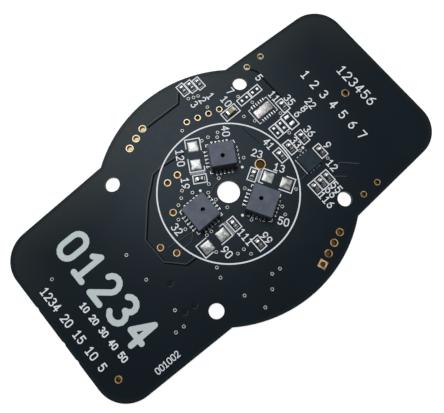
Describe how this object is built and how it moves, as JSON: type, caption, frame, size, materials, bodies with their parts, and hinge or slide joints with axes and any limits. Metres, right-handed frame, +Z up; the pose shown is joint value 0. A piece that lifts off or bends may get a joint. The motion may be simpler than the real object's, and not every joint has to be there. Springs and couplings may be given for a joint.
{
  "type": "sensor evaluation board",
  "caption": "Thin circuit board with tapered wings and a round bulge, light sensors round a centre hole, corner screw holes and plated header holes.",
  "frame": {"origin": "centre of the centre hole on the board's underside", "axes": "+X along the board towards the end with the memory chip, +Y towards the edge with the protection diodes, +Z up out of the populated side"},
  "size_m": [0.07, 0.0428, 0.0033],
  "materials": {
    "solder_mask": "satin black solder mask over a glass-epoxy laminate",
    "gold_plating": "thin gold over copper",
    "solder_tin": "reflowed tin, slightly uneven",
    "sensor_cap": "matt blue-grey moulding",
    "package_laminate": "dark package laminate",
    "sensor_die": "polished silicon under a coated filter",
    "black_epoxy": "matt black moulding compound",
    "resistor_chip": "glazed black top between tinned ends",
    "diode_chip": "dark body between tinned ends",
    "capacitor_chip": "fired ceramic between tinned ends",
    "silkscreen_ink": "printed white ink, slightly uneven"
  },
  "bodies": {
    "root": {"board": "solder_mask", "debug_header_holes": "gold_plating", "decoupling_capacitor_1": "capacitor_chip", "decoupling_capacitor_2": "capacitor_chip", "decoupling_capacitor_3": "capacitor_chip", "decoupling_capacitor_4": "capacitor_chip", "decoupling_capacitor_5": "capacitor_chip", "decoupling_capacitor_6": "capacitor_chip", "left_lamp_pads": "solder_tin", "left_lamp_resistor": "resistor_chip", "left_lamp_resistor_lands": "solder_tin", "left_sensor_base": "package_laminate", "left_sensor_cap": "sensor_cap", "left_sensor_die": "sensor_die", "left_sensor_lands": "solder_tin", "lower_chip_lands": "solder_tin", "lower_lamp_pads": "solder_tin", "lower_lamp_resistor": "resistor_chip", "lower_lamp_resistor_lands": "solder_tin", "lower_sensor_base": "package_laminate", "lower_sensor_cap": "sensor_cap", "lower_sensor_die": "sensor_die", "lower_sensor_lands": "solder_tin", "memory_chip": "black_epoxy", "memory_chip_lands": "solder_tin", "middle_chip_lands": "solder_tin", "pin_header_holes": "gold_plating", "pin_one_hole": "gold_plating", "protection_diode_1": "diode_chip", "protection_diode_2": "diode_chip", "protection_diode_3": "diode_chip", "protection_diode_lands": "solder_tin", "pull_up_resistor_1": "resistor_chip", "pull_up_resistor_2": "resistor_chip", "pull_up_resistor_3": "resistor_chip", "ribbon_header_holes": "gold_plating", "right_chip_lands": "solder_tin", "sensor_chip_lands": "solder_tin", "spare_driver_lands": "solder_tin", "spare_driver_pad": "solder_tin", "spare_middle_pads": "solder_tin", "spare_upper_pads": "solder_tin", "spare_wide_pads": "solder_tin", "supply_capacitor": "capacitor_chip", "supply_capacitor_lands": "solder_tin", "upper_lamp_pads": "solder_tin", "upper_lamp_resistor": "resistor_chip", "upper_lamp_resistor_lands": "solder_tin", "upper_sensor_base": "package_laminate", "upper_sensor_cap": "sensor_cap", "upper_sensor_die": "sensor_die", "upper_sensor_lands": "solder_tin"}
  },
  "joints": []
}
